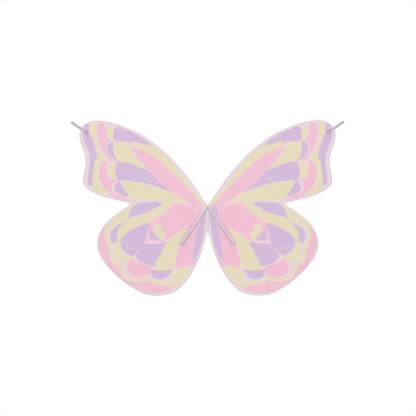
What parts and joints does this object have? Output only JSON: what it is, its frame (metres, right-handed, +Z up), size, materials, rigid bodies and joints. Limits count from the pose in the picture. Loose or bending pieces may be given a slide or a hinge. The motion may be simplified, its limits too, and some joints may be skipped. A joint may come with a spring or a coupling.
{
  "type": "fairy wings",
  "caption": "Soft printed-fabric butterfly wings for a child to wear, with a centre seam, elastic shoulder loops and elastic hand loops at the wing tips.",
  "frame": {"origin": "top of the centre seam, where the shoulder loops are sewn on", "axes": "+X towards the right-hand wing seen from the loop side, +Z up along the seam, -Y out of the loop side, towards the wearer"},
  "size_m": [1.0964, 0.0163, 0.7004],
  "materials": {
    "printed_front": "printed satin-weave polyester in lilac, cream and pink cells with pale veins",
    "printed_back": "the same print, on the back",
    "interlining": "soft white needle-felt",
    "overlock_thread": "fine mauve-pink overlock thread",
    "seam_tape": "pale pink twill tape",
    "thread": "grey-mauve sewing thread",
    "elastic": "ribbed silver-grey flat elastic",
    "label_satin": "blank white satin"
  },
  "bodies": {
    "spine": {"centre_seam_core": "interlining", "centre_tape_front": "seam_tape", "centre_tape_back": "seam_tape", "centre_seam_stitching": "thread", "care_label": "label_satin", "left_arm_loop_end": "elastic", "right_arm_loop_end": "elastic"},
    "left_wing": {"left_front_panel": "printed_front", "left_back_panel": "printed_back", "left_interlining": "interlining", "left_edge_overlock": "overlock_thread", "left_arm_loop_tail": "elastic", "left_arm_loop_stitching": "thread", "left_hand_loop_tail": "elastic", "left_hand_loop_stitching": "thread"},
    "right_wing": {"right_front_panel": "printed_front", "right_back_panel": "printed_back", "right_interlining": "interlining", "right_edge_overlock": "overlock_thread", "right_arm_loop_tail": "elastic", "right_arm_loop_stitching": "thread", "right_hand_loop_tail": "elastic", "right_hand_loop_stitching": "thread"},
    "left_arm_loop": {"left_arm_loop": "elastic"},
    "left_hand_loop": {"left_hand_loop": "elastic"},
    "right_arm_loop": {"right_arm_loop": "elastic"},
    "right_hand_loop": {"right_hand_loop": "elastic"}
  },
  "joints": [
    {"name": "left_wing_fold", "type": "hinge", "parent": "spine", "child": "left_wing", "pos_m": [-0.0077, 0, -0.055], "axis": [0, 0, -1], "range_deg": [-45, 88], "stiffness_Nm_per_rad": 0.15},
    {"name": "right_wing_fold", "type": "hinge", "parent": "spine", "child": "right_wing", "pos_m": [0.0077, 0, -0.055], "axis": [0, 0, 1], "range_deg": [-45, 88], "stiffness_Nm_per_rad": 0.15},
    {"name": "left_arm_loop_lift", "type": "hinge", "parent": "left_wing", "child": "left_arm_loop", "pos_m": [-0.01778, -0.0024, -0.02539], "axis": [-0.8192, 0, 0.5736], "range_deg": [0, 120]},
    {"name": "right_arm_loop_lift", "type": "hinge", "parent": "right_wing", "child": "right_arm_loop", "pos_m": [0.01778, -0.0024, -0.02539], "axis": [-0.8192, 0, -0.5736], "range_deg": [0, 120]},
    {"name": "left_hand_loop_bend", "type": "hinge", "parent": "left_wing", "child": "left_hand_loop", "pos_m": [-0.50794, 0, 0.31147], "axis": [0.5664, 0, 0.8241], "range_deg": [-80, 80], "stiffness_Nm_per_rad": 0.004},
    {"name": "right_hand_loop_bend", "type": "hinge", "parent": "right_wing", "child": "right_hand_loop", "pos_m": [0.50794, 0, 0.31147], "axis": [0.5664, 0, -0.8241], "range_deg": [-80, 80], "stiffness_Nm_per_rad": 0.004}
  ]
}
